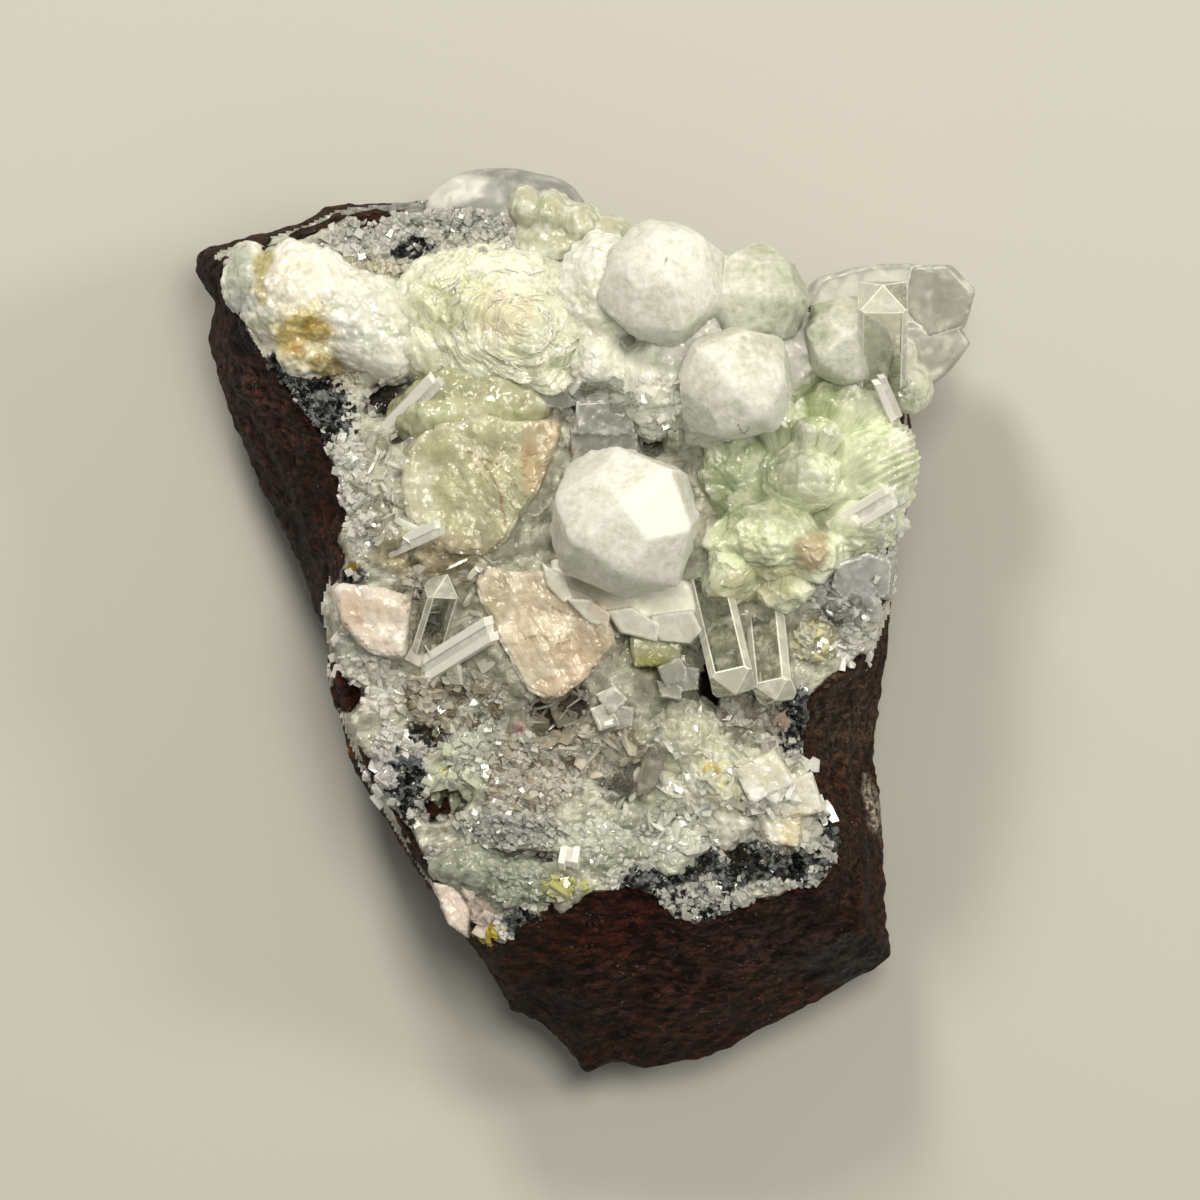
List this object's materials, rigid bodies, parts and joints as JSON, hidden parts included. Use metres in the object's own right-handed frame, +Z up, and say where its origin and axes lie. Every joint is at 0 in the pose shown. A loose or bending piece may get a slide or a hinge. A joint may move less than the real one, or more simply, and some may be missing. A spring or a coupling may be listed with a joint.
{
  "type": "mineral specimen",
  "caption": "Analcime with prehnite: milky ball-like crystals on pale green lobes in a basalt pocket, with clear prisms, lying on its back.",
  "frame": {"origin": "middle of the bounding box's underside, on the surface that the specimen lies on", "axes": "+Z up, out of the crystal pocket; +Y towards the end with the analcime crystals; +X towards the side with the smoky crystals"},
  "size_m": [0.0673, 0.0779, 0.0352],
  "materials": {
    "basalt": "broken, dull",
    "druse": "sparkling, rough",
    "prehnite_green": "waxy to glassy, slightly see-through",
    "prehnite_cream": "waxy, granular",
    "analcime": "milky, glassy faces",
    "calcite_olive": "smooth, slightly see-through",
    "calcite_pink": "smooth, striated",
    "calcite_white": "blocky, frosted",
    "clear_crystal": "clear, glassy",
    "white_lath": "glassy",
    "smoky_crystal": "clear, smoky"
  },
  "bodies": {
    "root": {"analcime_large": "analcime", "analcime_middle": "analcime", "analcime_right": "analcime", "analcime_upper_pair": "analcime", "apophyllite_grey_facets": "clear_crystal", "apophyllite_long": "clear_crystal", "apophyllite_pointed": "clear_crystal", "apophyllite_round_left": "clear_crystal", "apophyllite_round_right": "clear_crystal", "apophyllite_skirt": "clear_crystal", "apophyllite_small": "clear_crystal", "apophyllite_stepped": "clear_crystal", "apophyllite_stubby": "clear_crystal", "basalt_matrix": "basalt", "calcite_beige": "calcite_pink", "calcite_large": "calcite_olive", "calcite_olive": "calcite_olive", "calcite_pink": "calcite_pink", "calcite_pink_edge": "calcite_pink", "calcite_white_blocks": "calcite_white", "clear_dome": "clear_crystal", "clear_right_facets": "clear_crystal", "drusy_crust": "druse", "lath_blade": "white_lath", "lath_left": "white_lath", "lath_lower": "white_lath", "lath_right": "white_lath", "lath_right_small": "white_lath", "lath_upper": "white_lath", "prehnite_back_cluster": "prehnite_green", "prehnite_band": "prehnite_green", "prehnite_cream_ball": "prehnite_cream", "prehnite_edge_lumps": "prehnite_green", "prehnite_green_cluster": "prehnite_green", "prehnite_lower_crust": "prehnite_green", "prehnite_lower_left": "prehnite_green", "prehnite_lower_mass": "prehnite_cream", "prehnite_rosette": "prehnite_green", "prehnite_top_lobes": "prehnite_green", "smoky_cluster": "smoky_crystal"}
  },
  "joints": []
}
